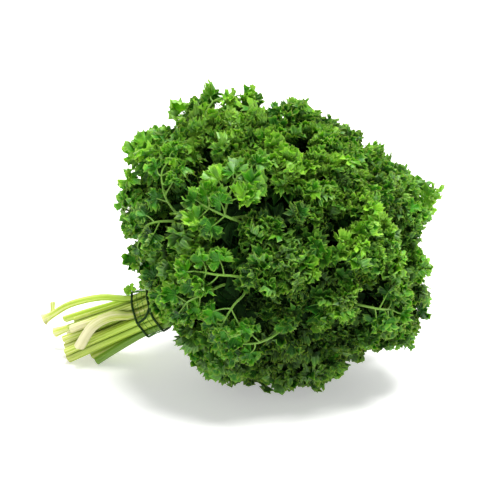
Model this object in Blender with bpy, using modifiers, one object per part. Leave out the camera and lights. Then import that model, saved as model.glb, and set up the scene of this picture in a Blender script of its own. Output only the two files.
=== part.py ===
"""A tied bunch of curly parsley, lying on its side on a flat surface.

Each leafy stem is a pale stalk and, continuing it after a touching gap, a green frond of toothed,
waved leaf blades. The stalks run side by side through an elastic net tie and fan out
inside the head; the fronds fill the round head, each in its own cell. Units are metres, +Z is up, and
the origin is on the surface, under the middle of the head.
"""

import math
import random

import bmesh
import bpy
from mathutils import Matrix, Vector

# The head and the way the bunch lies
HEAD_HEIGHT = 0.098
HEAD_RADIUS = 0.109
AXIS_RISE = math.radians(26.0)
WIDEST_POLAR = math.radians(151.0)
# Broad bulges and dips of the head: direction, height in metres, half-width in degrees
BULGES = (
    ((-0.73, 0.00, 0.68), 0.023, 38.0),
    ((0.90, 0.33, 0.30), 0.013, 20.0),
    ((0.90, 0.12, -0.41), 0.017, 22.0),
    ((0.97, 0.25, 0.00), -0.020, 10.0),
    ((0.23, 0.33, 0.91), -0.008, 16.0),
    ((-0.07, 0.27, 0.96), 0.005, 16.0),
    ((-0.63, -0.37, -0.68), -0.016, 15.0),
)

# The leafy stems
STEMS = 25
SEED = 11
DOWN_STEM = 19
GOLDEN_ANGLE = math.pi * (3.0 - math.sqrt(5.0))
HUB_RADIUS = 0.052
TOUCHING_GAP = 0.0003

# The stalks, and where they are tied
TIE_NEAR, TIE_FAR = 0.101, 0.121
BUNDLE_DROP = 0.0070
BUTT_NEAR, BUTT_FAR = 0.169, 0.191
FAN_SPREAD, FAN_SPAN = 0.42, 0.077
# Stalks that leave the fan: cut at a distance, moved (side, rise) half-way and at the end, thickened
LOOSE_STALKS = {
    7: (0.200, (0.0, 0.0), (0.0, 0.0), 1.0),
    13: (0.167, (-0.0076, 0.0060), (-0.0097, -0.0060), 1.22),
    16: (0.186, (0.0, 0.0), (0.0, 0.0), 1.0),
    20: (0.190, (0.0, 0.0020), (0.0, 0.0020), 1.0),
    23: (0.196, (0.0, 0.0105), (-0.0010, 0.0050), 1.0),
    24: (0.165, (-0.0018, -0.0014), (-0.0040, -0.0030), 1.0),
}
RESTING_STALKS = (16, 22)
FLARED_STALKS = {7: 1.42, 23: 1.55}
FLARE_LENGTH = 0.009
FORKED_STALK = 23
STALK_RADIUS = (0.0025, 0.0031)
STALK_TOP_RADIUS = 0.0016

# The elastic net tie
TURN_OFFSETS = ((-0.0066, 0.00105), (-0.0020, 0.0006), (0.0024, 0.0006), (0.0070, 0.00115))
TURN_POINTS = 18
TIE_CLEARANCE = 0.0004

# The fronds and their blades
RACHIS_TOP = 0.080
RACHIS_RADII = (0.0016, 0.0015, 0.0010)
BLADES = 8
BLADE_THICKNESS = 0.0008
TEETH = 5
FAN_LENGTH = 0.0230
FAN_HALF_ANGLE = math.radians(84.0)
NOTCH_DEPTH = 0.36
WAVE_HEIGHT = 0.0034
CELL_HALF_ANGLE = math.radians(28.0)

# The leaf pressed flat on the surface, under the middle of the head
RESTING_SPOT = (0.0030, 0.0020, 0.0)
RESTING_RADIUS = 0.0120
RESTING_CLEARANCE = math.radians(15.0)

# How a blade bends clear of what it would meet: nearest distance, and where the bending starts
CELL_CLEAR = (0.0007, 0.0030)
BLADE_CLEAR = (0.0006, 0.0030)
FLOOR_CLEAR = (0.00046, 0.0030)
BUNDLE_CLEAR = (0.0225, 0.0270)
HUB_CLEAR = (0.0545, 0.0600)

HEAD = Vector((0.0, 0.0, HEAD_HEIGHT))
AXIS = Vector((math.cos(AXIS_RISE), 0.0, math.sin(AXIS_RISE)))
SIDE = Vector((0.0, 1.0, 0.0))
RISE = Vector((-math.sin(AXIS_RISE), 0.0, math.cos(AXIS_RISE)))


def clear_scene():
    for obj in list(bpy.data.objects):
        bpy.data.objects.remove(obj, do_unlink=True)


def make_collection(name):
    collection = bpy.data.collections.new(name)
    bpy.context.scene.collection.children.link(collection)
    return collection


def make_material(name, colour, roughness):
    material = bpy.data.materials.new(name)
    material.use_nodes = True
    shader = material.node_tree.nodes["Principled BSDF"]
    shader.inputs["Base Color"].default_value = (*colour, 1.0)
    shader.inputs["Roughness"].default_value = roughness
    shader.inputs["Metallic"].default_value = 0.0
    material.diffuse_color = (*colour, 1.0)
    return material


# Directions and places of the leafy stems

def stem_angles(index):
    """Polar angle from the bunch's axis and turn about it, in a golden-angle spiral over the head."""
    share = (index + 0.5) / STEMS
    polar = math.acos(1.0 - (1.0 - math.cos(WIDEST_POLAR)) * share)
    return polar, (index - DOWN_STEM) * GOLDEN_ANGLE - math.pi / 2.0


def across_axis(turn):
    return math.cos(turn) * SIDE + math.sin(turn) * RISE


def stem_direction(index):
    polar, turn = stem_angles(index)
    return math.cos(polar) * AXIS + math.sin(polar) * across_axis(turn)


def head_reach(direction):
    """The head's radius in a direction, with its bulges and dips."""
    reach = HEAD_RADIUS
    for towards, height, width in BULGES:
        angle = math.degrees(direction.angle(Vector(towards)))
        reach += height * math.exp(-((angle / width) ** 2))
    return reach


def stalk_radii():
    draw = random.Random(SEED)
    return [draw.uniform(*STALK_RADIUS) for _ in range(STEMS)]


def packed_bundle(radii):
    """Where each stalk crosses the tie, as (side, rise): drawn together, then pushed apart."""
    places = []
    for index in range(STEMS):
        turn = stem_angles(index)[1]
        places.append(0.019 * math.sqrt((index + 0.5) / STEMS) * Vector((math.cos(turn), math.sin(turn))))
    rounds = 500
    for step in range(rounds):
        if step < rounds - 150:
            places = [place * 0.997 for place in places]
        for first in range(STEMS):
            for second in range(first + 1, STEMS):
                apart = places[first] - places[second]
                short = radii[first] + radii[second] + 1.3 * TOUCHING_GAP - apart.length
                if short > 0.0:
                    push = apart.normalized() * (short * 0.5)
                    places[first] = places[first] + push
                    places[second] = places[second] - push
    return places


def on_bundle(place, along):
    """A point at a place of the bundle's cross-section, a distance from the head's middle down the axis."""
    return HEAD - along * AXIS + place.x * SIDE + (place.y - BUNDLE_DROP) * RISE


def bezier(points, t):
    """A point on a Bezier curve of any degree."""
    while len(points) > 1:
        points = [a.lerp(b, t) for a, b in zip(points, points[1:])]
    return points[0]


def hub_point(index):
    return HEAD + HUB_RADIUS * stem_direction(index)


def hub_heading(index):
    """The way a stalk points where its frond begins: outward, and still partly along the bunch."""
    polar = stem_angles(index)[0]
    onward = 1.5 * (1.0 - math.cos(polar)) / 2.0
    return (stem_direction(index) + onward * AXIS).normalized()


def spread_at(along):
    """How much wider than at the tie the bundle is, further down."""
    return 1.0 + FAN_SPREAD * max(0.0, (along - TIE_FAR) / FAN_SPAN) ** 1.3


def fanned_out(place, along):
    return on_bundle(place * spread_at(along), along)


def butt_distance(index, place, radius):
    """How far down the axis a stalk is cut: each at its own length, and none below the surface."""
    if index in LOOSE_STALKS:
        return LOOSE_STALKS[index][0]
    draw = random.Random(SEED * 100 + index)
    along = draw.uniform(BUTT_NEAR, BUTT_FAR)
    while fanned_out(place, along).z < radius * 1.12:
        along -= 0.0002
    return along


def loose_end(index, place, radius):
    """The cut end of a stalk and its middle below the tie, with the bends that LOOSE_STALKS gives."""
    along = butt_distance(index, place, radius)
    half_way = (along + TIE_FAR) / 2.0
    ends = [fanned_out(place, along), fanned_out(place, half_way)]
    if index in LOOSE_STALKS:
        _, middle_move, end_move, _ = LOOSE_STALKS[index]
        for number, (side, rise) in enumerate((end_move, middle_move)):
            ends[number] = ends[number] + side * SIDE + rise * RISE
    if index in RESTING_STALKS:
        drop = ends[0].z - radius * 0.90
        ends[0] = ends[0] - drop / RISE.z * RISE
        ends[1] = ends[1] - 0.35 * drop / RISE.z * RISE
    return ends


def stalk_route(index, place, radius):
    """A stalk's centre line, from its cut end through the tie to its frond's hub, with its radii."""
    end, middle = loose_end(index, place, radius)
    tied = on_bundle(place, TIE_FAR)
    points, radii = [end, middle], [radius * 1.1, radius * 1.03]
    if index in LOOSE_STALKS:
        thick = radius * LOOSE_STALKS[index][3]
        bend = [end, 2.0 * middle - end.lerp(tied, 0.5), tied]
        points = [end, bezier(bend, 0.36), bezier(bend, 0.70)]
        radii = [thick * 1.1, thick * 1.06, thick]
    if index in FLARED_STALKS:
        points.insert(1, end.lerp(points[1], FLARE_LENGTH / (end - points[1]).length))
        radii[0] = radius * FLARED_STALKS[index]
        radii.insert(1, radius * 1.06)
    points += [tied, on_bundle(place, TIE_NEAR)]
    radii += [radius, radius]
    top = on_bundle(place, TIE_NEAR)
    hub, heading = hub_point(index), hub_heading(index)
    reach = (hub - top).length
    curve = [top, top + AXIS * reach * 0.42, hub - heading * reach * 0.36, hub]
    for step in range(1, 4):
        t = step / 3.0
        points.append(bezier(curve, t))
        radii.append(radius + (STALK_TOP_RADIUS - radius) * t)
    return points, radii


# Solids

def tube(name, points, radii, sides_level, collection, cyclic=False):
    """A tube along points: a curve object with a bevel, and caps where it isn't closed."""
    data = bpy.data.curves.new(name, "CURVE")
    data.dimensions = "3D"
    data.bevel_depth = 1.0
    data.bevel_resolution = sides_level
    data.use_fill_caps = True
    spline = data.splines.new("POLY")
    spline.points.add(len(points) - 1)
    for corner, point, radius in zip(spline.points, points, radii):
        corner.co = (*point, 1.0)
        corner.radius = radius
    spline.use_cyclic_u = cyclic
    obj = bpy.data.objects.new(name, data)
    collection.objects.link(obj)
    return obj


def as_mesh(obj):
    """A curve object made a closed mesh object of the same name, in the same collections."""
    name, homes = obj.name, list(obj.users_collection)
    bpy.context.view_layer.update()
    graph = bpy.context.evaluated_depsgraph_get()
    mesh = bpy.data.meshes.new_from_object(obj.evaluated_get(graph))
    work = bmesh.new()
    work.from_mesh(mesh)
    bmesh.ops.remove_doubles(work, verts=work.verts, dist=0.00001)
    bmesh.ops.recalc_face_normals(work, faces=work.faces)
    work.to_mesh(mesh)
    work.free()
    place = obj.matrix_world.copy()
    bpy.data.objects.remove(obj, do_unlink=True)
    made = bpy.data.objects.new(name, mesh)
    made.matrix_world = place
    for home in homes:
        home.objects.link(made)
    return made


def union(target, pieces):
    """Joins the objects of a collection into target by one applied Boolean, and removes them."""
    modifier = target.modifiers.new("grown together", "BOOLEAN")
    modifier.operation = "UNION"
    modifier.operand_type = "COLLECTION"
    modifier.collection = pieces
    modifier.solver = "MANIFOLD"
    bpy.context.view_layer.update()
    graph = bpy.context.evaluated_depsgraph_get()
    joined = bpy.data.meshes.new_from_object(target.evaluated_get(graph))
    target.modifiers.remove(modifier)
    keep_main_body(joined)
    target.data = joined
    for piece in list(pieces.objects):
        bpy.data.objects.remove(piece, do_unlink=True)


def linked_faces(seed, seen):
    """The faces joined to one face by edges, which are added to seen."""
    island, waiting = [], [seed]
    seen.add(seed)
    while waiting:
        face = waiting.pop()
        island.append(face)
        for edge in face.edges:
            for other in edge.link_faces:
                if other not in seen:
                    seen.add(other)
                    waiting.append(other)
    return island


def signed_volume(face):
    a, b, c = (corner.co for corner in face.verts)
    return a.dot(b.cross(c)) / 6.0


def keep_main_body(mesh):
    """Drops the loose scraps, and the walls of any hollow that the joining sealed."""
    work = bmesh.new()
    work.from_mesh(mesh)
    bmesh.ops.triangulate(work, faces=work.faces)
    seen, islands = set(), []
    for face in work.faces:
        if face not in seen:
            islands.append(linked_faces(face, seen))
    kept = set(max(islands, key=lambda island: sum(signed_volume(face) for face in island)))
    loose = [face for face in work.faces if face not in kept]
    bmesh.ops.delete(work, geom=loose, context="FACES")
    work.to_mesh(mesh)
    work.free()


# Bending clear

def pressed(distance, limits):
    """A distance kept above the nearer limit: unchanged from the further one on, and squeezed below it."""
    nearest, start = limits
    if distance >= start:
        return distance
    return nearest + (start - nearest) * math.exp((distance - start) / (start - nearest))


def kept_in_cell(point, own, others, limits):
    """A point moved to its own side of the planes half-way between its direction and the others'."""
    for towards in others:
        normal = (own - towards).normalized()
        distance = (point - HEAD).dot(normal)
        point = point + (pressed(distance, limits) - distance) * normal
    return point


def bent_clear(point, own, other_fronds, blade_way, other_blades):
    """A blade's point moved out of other fronds' and blades' cells, the bundle, the hub and the floor."""
    for _ in range(3):
        point = kept_in_cell(point, blade_way, other_blades, BLADE_CLEAR)
        point = kept_in_cell(point, own, other_fronds, CELL_CLEAR)
        down_axis = -(point - HEAD).dot(AXIS)
        if down_axis > 0.0:
            sunk = BUNDLE_DROP * min(1.0, down_axis / TIE_NEAR)
            lateral = point - (HEAD - down_axis * AXIS - sunk * RISE)
            width = lateral.length
            point = point + lateral.normalized() * (pressed(width, BUNDLE_CLEAR) - width)
        offset = point - HEAD
        depth = offset.length
        point = HEAD + offset * (pressed(depth, HUB_CLEAR) / depth)
        point.z = pressed(point.z, FLOOR_CLEAR)
    return point


# The fronds

def rachis_line(index, stalk_points):
    """The frond's rib: it carries the stalk straight on, and then turns outward into its cell."""
    heading = (stalk_points[-1] - stalk_points[-2]).normalized()
    start = stalk_points[-1] + heading * TOUCHING_GAP
    end = HEAD + RACHIS_TOP * stem_direction(index)
    bend = start + heading * (end - start).length * 0.38
    return [start, bend, end]


def along_line(points, share):
    """The point at a share of a three-point line, each stretch counting as half."""
    first, middle, last = points
    if share < 0.5:
        return first.lerp(middle, share * 2.0)
    return middle.lerp(last, share * 2.0 - 1.0)


def blade_directions(index):
    """Where a frond's blades end on the head, lowest first: a golden-angle disc over its cell."""
    own = stem_direction(index)
    sideways = own.orthogonal().normalized()
    draw = random.Random(SEED * 1000 + index)
    first_turn = draw.uniform(0.0, 2.0 * math.pi)
    made = []
    for blade in range(BLADES):
        share = (BLADES - blade - 0.6) / BLADES
        away = CELL_HALF_ANGLE * math.sqrt(share) * draw.uniform(0.92, 1.05)
        if index == DOWN_STEM:
            away = max(away, RESTING_CLEARANCE)
        turn = Matrix.Rotation(first_turn + blade * GOLDEN_ANGLE, 3, own)
        lean = turn @ sideways
        made.append(((math.cos(away) * own + math.sin(away) * lean).normalized(), lean, draw))
    if index == DOWN_STEM:
        made[-1] = ((Vector(RESTING_SPOT) - HEAD).normalized(), made[-1][1], draw)
    return made


def blade(name, root, tip, outward, lean, draw, clear, collection):
    """A thin fan-shaped blade with a toothed, waved edge: a disc moved into shape and given thickness."""
    lean_angle = math.radians(draw.uniform(42.0, 62.0))
    side_on = outward.cross(lean).normalized()
    heading = (math.cos(lean_angle) * outward + math.sin(lean_angle) * lean).normalized()
    across = (Matrix.Rotation(math.radians(draw.uniform(-32.0, 32.0)), 3, heading) @ side_on).normalized()
    face = across.cross(heading).normalized()
    size = FAN_LENGTH * draw.uniform(0.9, 1.12)
    middle = tip - heading * size
    phase = draw.choice((-1.0, 1.0))
    edge = 2 * TEETH + 1

    work = bmesh.new()
    bmesh.ops.create_circle(work, cap_ends=True, cap_tris=True, segments=edge + 1, radius=1.0)
    work.verts.ensure_lookup_table()
    rim = [v for v in work.verts if v.co.length > 0.5]
    rim.sort(key=lambda v: math.atan2(v.co.y, v.co.x))
    centre = next(v for v in work.verts if v.co.length < 0.5)
    centre.co = middle + face * size * 0.10
    for corner in range(edge):
        swing = FAN_HALF_ANGLE * (2.0 * corner / (edge - 1) - 1.0)
        notch = corner % 2 == 1
        length = size * (1.0 - 0.14 * abs(math.sin(swing)) + draw.uniform(-0.05, 0.05))
        if notch:
            length *= 1.0 - NOTCH_DEPTH
        wave = 0.0 if notch else phase * WAVE_HEIGHT * (1.0 if (corner // 2) % 2 == 0 else -1.0)
        droop = -0.16 * length * math.sin(abs(swing))
        rim[corner].co = (
            middle
            + length * (math.cos(swing) * heading + math.sin(swing) * across)
            + (wave + droop + draw.uniform(-0.0008, 0.0008)) * face
        )
    rim[edge].co = root
    for v in rim[:edge] + [centre]:
        v.co = clear(v.co)
    bmesh.ops.recalc_face_normals(work, faces=work.faces)
    mesh = bpy.data.meshes.new(name)
    work.to_mesh(mesh)
    work.free()
    obj = bpy.data.objects.new(name, mesh)
    collection.objects.link(obj)
    wall = obj.modifiers.new("leaf thickness", "SOLIDIFY")
    wall.thickness = BLADE_THICKNESS
    wall.offset = 0.0
    return obj


def resting_leaf(rib_end, outward, rest, collection):
    """The leaf that the head rests on: flat, its underside on the surface, on a stem from the rib's end."""
    work = bmesh.new()
    bmesh.ops.create_circle(work, cap_ends=True, segments=4 * TEETH, radius=RESTING_RADIUS)
    for corner, v in enumerate(work.verts):
        v.co = Vector(RESTING_SPOT) + v.co * (1.0 if corner % 2 else 1.0 - NOTCH_DEPTH)
        v.co = kept_in_cell(v.co, outward, rest, BLADE_CLEAR)
        v.co.z = 0.0
    top = bmesh.ops.extrude_face_region(work, geom=work.faces[:])["geom"]
    bmesh.ops.translate(
        work, verts=[v for v in top if isinstance(v, bmesh.types.BMVert)], vec=(0.0, 0.0, BLADE_THICKNESS)
    )
    bmesh.ops.recalc_face_normals(work, faces=work.faces)
    mesh = bpy.data.meshes.new("resting_leaf")
    work.to_mesh(mesh)
    work.free()
    collection.objects.link(bpy.data.objects.new("resting_leaf", mesh))
    foot = Vector(RESTING_SPOT) + Vector((0.0, 0.0, BLADE_THICKNESS / 2.0))
    start = rib_end + Vector((0.0, 0.0, 0.004))
    as_mesh(tube("resting_leaf_stem", [start, foot], [0.0011, 0.0009], 0, collection))


def build_frond(index, stalk_points, directions, material, home, workshop):
    name = f"frond_{index + 1:02d}"
    line = rachis_line(index, stalk_points)
    rachis = as_mesh(tube(name, line, RACHIS_RADII, 0, home))
    ways = blade_directions(index)
    others = [way for other, way in enumerate(directions) if other != index]
    for number, (outward, lean, draw) in enumerate(ways):
        root = along_line(line, 0.34 + 0.62 * number / (BLADES - 1))
        tip = HEAD + outward * head_reach(outward) * draw.uniform(0.94, 1.0)
        rest = [way[0] for other, way in enumerate(ways) if other != number]
        if index == DOWN_STEM and number == BLADES - 1:
            resting_leaf(line[-1], outward, rest, workshop)
            continue

        def clear(point):
            return bent_clear(point, directions[index], others, outward, rest)

        blade(f"{name}_blade_{number}", root, tip, outward, lean, draw, clear, workshop)
    union(rachis, workshop)
    rachis.data.materials.clear()
    rachis.data.materials.append(material)
    return rachis


def build_stalk(index, place, radius, material, home, workshop):
    points, radii = stalk_route(index, place, radius)
    stalk = tube(f"stalk_{index + 1:02d}", points, radii, 1, home)
    if index == FORKED_STALK:
        stalk = as_mesh(stalk)
        fork = points[0].lerp(points[1], 0.8)
        tip = fork + 0.0095 * (RISE - 0.75 * AXIS - 0.2 * SIDE).normalized()
        as_mesh(tube("stub", [fork, tip], [0.0019, 0.0014], 1, workshop))
        union(stalk, workshop)
        stalk.data.materials.clear()
    stalk.data.materials.append(material)
    return points


# The tie

def bundle_outline(places, radii, turn, strand):
    """A point of a taut turn of the tie: outside the stalk that stands out furthest that way."""
    way = Vector((math.cos(turn), math.sin(turn)))
    place, radius = max(zip(places, radii), key=lambda stalk: stalk[0].dot(way) + stalk[1])
    return place + way * (radius + TIE_CLEARANCE + strand)


def build_tie(places, radii, material, home, workshop):
    """Turns of elastic round the bundle, with strands along it that join them."""
    middle = (TIE_NEAR + TIE_FAR) / 2.0
    widest = TURN_OFFSETS[-1][1]
    for number, (offset, strand) in enumerate(TURN_OFFSETS):
        turns = [2.0 * math.pi * step / TURN_POINTS for step in range(TURN_POINTS)]
        points = [on_bundle(bundle_outline(places, radii, turn, widest), middle - offset) for turn in turns]
        sides_level = 1 if strand > 0.001 else 0
        as_mesh(tube(f"turn_{number}", points, [strand] * len(points), sides_level, workshop, True))
    first, last = TURN_OFFSETS[0][0], TURN_OFFSETS[-1][0]
    strands = ((math.radians(200.0), 0.0009), (math.radians(120.0), 0.0006), (math.radians(0.0), 0.0006))
    for number, (turn, strand) in enumerate(strands[1:]):
        place = bundle_outline(places, radii, turn, widest)
        ends = [on_bundle(place, middle - along) for along in (first - 0.0004, last + 0.0004)]
        as_mesh(tube(f"strand_{number}", ends, [strand] * 2, 0, workshop))
    place = bundle_outline(places, radii, strands[0][0], widest)
    ends = [on_bundle(place, middle - along) for along in (first - 0.0006, last + 0.0006)]
    tie = as_mesh(tube("tie_net", ends, [strands[0][1]] * 2, 1, home))
    union(tie, workshop)
    tie.data.materials.clear()
    tie.data.materials.append(material)
    return tie


def build():
    clear_scene()
    home = make_collection("parsley_bunch")
    workshop = make_collection("pieces_to_join")
    pale_green = make_material("stalk", (0.38, 0.47, 0.105), 0.42)
    leaf_green = make_material("leaf", (0.055, 0.16, 0.015), 0.5)
    dark_elastic = make_material("elastic", (0.012, 0.028, 0.006), 0.6)

    radii = stalk_radii()
    places = packed_bundle(radii)
    directions = [stem_direction(index) for index in range(STEMS)]
    for index in range(STEMS):
        stalk_points = build_stalk(index, places[index], radii[index], pale_green, home, workshop)
        build_frond(index, stalk_points, directions, leaf_green, home, workshop)
    build_tie(places, radii, dark_elastic, home, workshop)
    bpy.data.collections.remove(workshop)


build()
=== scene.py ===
"""Looks of a tied bunch of curly parsley, lying on its side: fine leaves, stalks and net tie."""

import random
from math import acos, cos, degrees, exp, floor, pi, radians, sin, sqrt, tau

import bmesh
import bpy
import numpy as np
from mathutils import Matrix, Vector, noise


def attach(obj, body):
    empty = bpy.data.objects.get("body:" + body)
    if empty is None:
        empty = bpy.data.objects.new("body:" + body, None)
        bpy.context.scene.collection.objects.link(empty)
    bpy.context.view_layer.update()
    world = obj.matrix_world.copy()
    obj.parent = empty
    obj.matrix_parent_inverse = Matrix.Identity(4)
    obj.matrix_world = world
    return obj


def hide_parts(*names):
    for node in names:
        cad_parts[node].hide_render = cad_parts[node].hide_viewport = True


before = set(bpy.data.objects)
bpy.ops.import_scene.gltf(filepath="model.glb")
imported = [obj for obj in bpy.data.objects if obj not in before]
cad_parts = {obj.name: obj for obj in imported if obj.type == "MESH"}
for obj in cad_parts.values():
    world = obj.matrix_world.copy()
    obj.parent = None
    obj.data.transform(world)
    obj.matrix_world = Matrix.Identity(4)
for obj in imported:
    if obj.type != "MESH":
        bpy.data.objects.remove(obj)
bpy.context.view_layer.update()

# The bunch's build, as in the part
HEAD_HEIGHT = 0.098
HEAD_RADIUS = 0.109
AXIS_RISE = radians(26.0)
WIDEST_POLAR = radians(151.0)
# Bulges and dips of the head: direction, height, width in degrees
BULGES = (
    ((-0.73, 0.00, 0.68), 0.023, 38.0),
    ((0.90, 0.33, 0.30), 0.013, 20.0),
    ((0.90, 0.12, -0.41), 0.017, 22.0),
    ((0.97, 0.25, 0.00), -0.020, 10.0),
    ((0.23, 0.33, 0.91), -0.008, 16.0),
    ((-0.07, 0.27, 0.96), 0.005, 16.0),
    ((-0.63, -0.37, -0.68), -0.016, 15.0),
)
STEMS = 25
SEED = 11
DOWN_STEM = 19
GOLDEN_ANGLE = pi * (3.0 - sqrt(5.0))
HUB_RADIUS = 0.052
TOUCHING_GAP = 0.0003
TIE_NEAR, TIE_FAR = 0.101, 0.121
BUNDLE_DROP = 0.0070
BUTT_NEAR, BUTT_FAR = 0.169, 0.191
FAN_SPREAD, FAN_SPAN = 0.42, 0.077
# Stalks that lie loose below the tie: cut end, moves of the middle and the end, thickness
LOOSE_STALKS = {
    7: (0.200, (0.0, 0.0), (0.0, 0.0), 1.0),
    13: (0.167, (-0.0076, 0.0060), (-0.0097, -0.0060), 1.22),
    16: (0.186, (0.0, 0.0), (0.0, 0.0), 1.0),
    20: (0.190, (0.0, 0.0020), (0.0, 0.0020), 1.0),
    23: (0.196, (0.0, 0.0105), (-0.0010, 0.0050), 1.0),
    24: (0.165, (-0.0018, -0.0014), (-0.0040, -0.0030), 1.0),
}
RESTING_STALKS = (16, 22)
FLARED_STALKS = {7: 1.42, 23: 1.55}
FLARE_LENGTH = 0.009
FORKED_STALK = 23
STALK_RADIUS = (0.0025, 0.0031)
STALK_TOP_RADIUS = 0.0016
# The net's turns: place along the bundle and radius
TURN_OFFSETS = ((-0.0066, 0.00105), (-0.0020, 0.0006), (0.0024, 0.0006), (0.0070, 0.00115))
TIE_CLEARANCE = 0.0004
RIB_TOP = 0.080
BLADES = 8
CELL_HALF_ANGLE = radians(28.0)
RESTING_SPOT = (0.0030, 0.0020, 0.0)
RESTING_CLEARANCE = radians(15.0)

# The finer leaves: young curly ones in the middle of the head, broad fans outside, near the stalks
BRANCHLETS = 5
YOUNG_LEAFLETS, OLD_LEAFLETS = 9, 6
YOUNG_LENGTH, OLD_LENGTH = (0.0068, 0.0096), (0.0094, 0.0132)
YOUNG_REACH, OLD_REACH = 0.0040, 0.0076
LEAF_THICKNESS, USUAL_LENGTH = 0.00035, 0.0100
CURLY_TEMPLATES, FAN_TEMPLATES = 9, 9
INNER_TEMPLATE = CURLY_TEMPLATES + FAN_TEMPLATES
GAP_PATTERN, GAP_START, GAP_FULL, GAP_DEPTH = 5.2, 0.06, 0.40, 0.26
LEAST_SHARE = 0.66
# Where the leaves stand out or lie low: direction, share of the head's radius, width in degrees
LEAF_LOBES = (
    ((0.91, 0.32, 0.25), 0.080, 11.0),
    ((0.50, 0.42, 0.76), -0.025, 15.0),
    ((0.80, 0.04, -0.59), -0.045, 15.0),
    ((-0.32, 0.19, 0.93), -0.055, 8.0),
    ((-0.55, 0.10, 0.83), 0.110, 8.0),
    ((-0.67, 0.03, 0.74), 0.060, 6.0),
    ((-0.87, -0.09, 0.48), 0.080, 9.0),
    ((0.73, 0.00, -0.68), 0.100, 7.0),
    ((0.97, 0.26, 0.00), -0.055, 7.0),
    ((-0.66, -0.37, -0.66), -0.130, 8.0),
    ((-0.40, -0.36, -0.84), 0.060, 8.0),
)
# Stems and fans of the leaves
BLADE_STEM_RADII = (0.0010, 0.0009, 0.0008, 0.0007)
TWIG_RADII = (0.0007, 0.0006, 0.0004)
CORE_LEAF_SCALE = 1.35
UNDERSIDE_SHARE = 0.10
# Leaves that lie on the outside, in view from every side
FIRST_SPRAY_FROND = 9
SPRAY_BLADES = (2, 5)
SPRAY_GAP, SPRAY_GAP_WIDTH = 0.20, 8.0
SPRAY_FLOOR_SHARE = 0.77
SPRAY_RIB_RADII = (0.0011, 0.0010, 0.0008, 0.0007, 0.0006, 0.0004)
SPRAY_TWIG_RADII = (0.0006, 0.0005, 0.0005, 0.0004, 0.0004)
SPRAY_FAN_LENGTH = (0.0092, 0.0124)
SPRAY_FANS = ((0.0, 1.0), (0.95, 0.92), (-0.95, 0.88), (0.45, 0.99), (-0.55, 0.97))
SPRIG_FANS = ((-1.0, 0.05, -0.2), (-0.5, 0.6, -0.5), (0.5, 0.7, -0.2), (-0.7, 0.3, 0.7))

# What the photo shows on its side of the head. Leaves with their ribs in view: where they lie, which way
# they run and whether their pale undersides show. Dark gaps. Places tinted lighter (+) or darker (-):
# partly painted light and shade, partly fresher and older leaves
SHOWN_SPRAYS = (
    ((-0.18, -0.86, 0.47), (-0.92, 0.38, 0.11), False),
    ((-0.10, -0.78, 0.62), (0.21, 0.66, 0.73), True),
    ((-0.56, -0.64, 0.52), (-0.21, 0.78, 0.58), False),
    ((-0.31, -0.95, -0.07), (-0.86, 0.40, -0.33), False),
    ((-0.08, -0.98, -0.16), (-0.59, 0.26, -0.77), False),
    ((0.07, -0.92, -0.38), (-0.98, 0.09, -0.19), False),
    ((0.84, -0.51, -0.19), (0.39, 0.91, -0.11), False),
    ((-0.14, -0.98, 0.11), (-0.97, 0.19, 0.14), False),
    ((-0.66, -0.69, 0.30), (-0.66, 0.45, -0.59), False),
)
SHOWN_SIDE = Vector((0.249, -0.928, 0.276))
SHOWN_GAP, SHOWN_GAP_WIDTH = 0.24, 5.8
SHOWN_GAPS = (
    (-0.27, -0.71, 0.65), (-0.39, -0.63, 0.67), (-0.37, -0.58, 0.72), (-0.28, -0.77, 0.57),
    (0.05, -0.79, 0.61), (-0.11, -0.88, 0.46), (-0.62, -0.67, 0.41), (-0.66, -0.53, 0.54),
    (0.26, -0.40, 0.88), (0.42, -0.82, 0.39), (0.60, -0.64, 0.48), (0.92, -0.20, 0.34),
    (0.97, -0.23, 0.11), (0.32, -0.95, -0.08), (0.61, -0.79, 0.06), (0.47, -0.86, -0.18),
    (0.81, -0.59, -0.02), (0.44, -0.84, -0.32), (0.64, -0.67, -0.39), (0.74, -0.56, -0.37),
    (0.53, -0.66, -0.54), (0.17, -0.77, -0.62), (-0.30, -0.93, -0.20), (0.08, -0.95, -0.31),
    (-0.04, -0.86, -0.50),
)
LIGHT_AND_FRESHNESS = (
    ((0.40, -0.91, 0.08), -0.16, 22.0),
    ((0.84, -0.48, 0.27), 0.17, 16.0),
    ((0.96, -0.17, -0.20), 0.24, 15.0),
    ((0.57, -0.67, 0.48), 0.08, 12.0),
    ((0.27, -0.53, 0.80), 0.11, 20.0),
    ((-0.96, -0.19, 0.23), 0.14, 20.0),
)
# One leaflet: the grid it is made from, where its lobes part and how far its sides fall
TEETH = 10
COLUMNS = 2 * TEETH
LOBE_SPLITS, LOBE_MIDDLES = (6, 14), (3.0, 10.0, 17.0)
SIDE_FALL = 0.12
INNER_LEAVES, INNER_COLUMNS = 4, 10
# How far the leaves keep off the floor, the stalks and the tie
FLOOR_CLEAR = (0.0002, 0.0030)
BUNDLE_CLEAR = 0.0235
LEAF_END, LEAF_END_SLOPE, LEAF_END_RISE = 0.091, 0.36, 0.22
LIFT_OFF_FLOOR = 0.0045

HEAD = Vector((0.0, 0.0, HEAD_HEIGHT))
AXIS = Vector((cos(AXIS_RISE), 0.0, sin(AXIS_RISE)))
SIDE = Vector((0.0, 1.0, 0.0))
RISE = Vector((-sin(AXIS_RISE), 0.0, cos(AXIS_RISE)))


# Directions

def turned(way, lean, angle):
    """A direction tipped by an angle towards another."""
    return (cos(angle) * way + sin(angle) * lean).normalized()


def spoke(axis, angle):
    """A direction square to an axis, at an angle round it."""
    return Matrix.Rotation(angle, 3, axis) @ axis.orthogonal().normalized()


def falloff(way, towards, width):
    """1 in a direction and less the more degrees away from it."""
    return exp(-((degrees(way.angle(Vector(towards))) / width) ** 2))


def bumps(way, table):
    """The sum in a direction of a table's values, each less away from its own direction."""
    return sum(value * falloff(way, towards, width) for towards, value, width in table)


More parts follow.
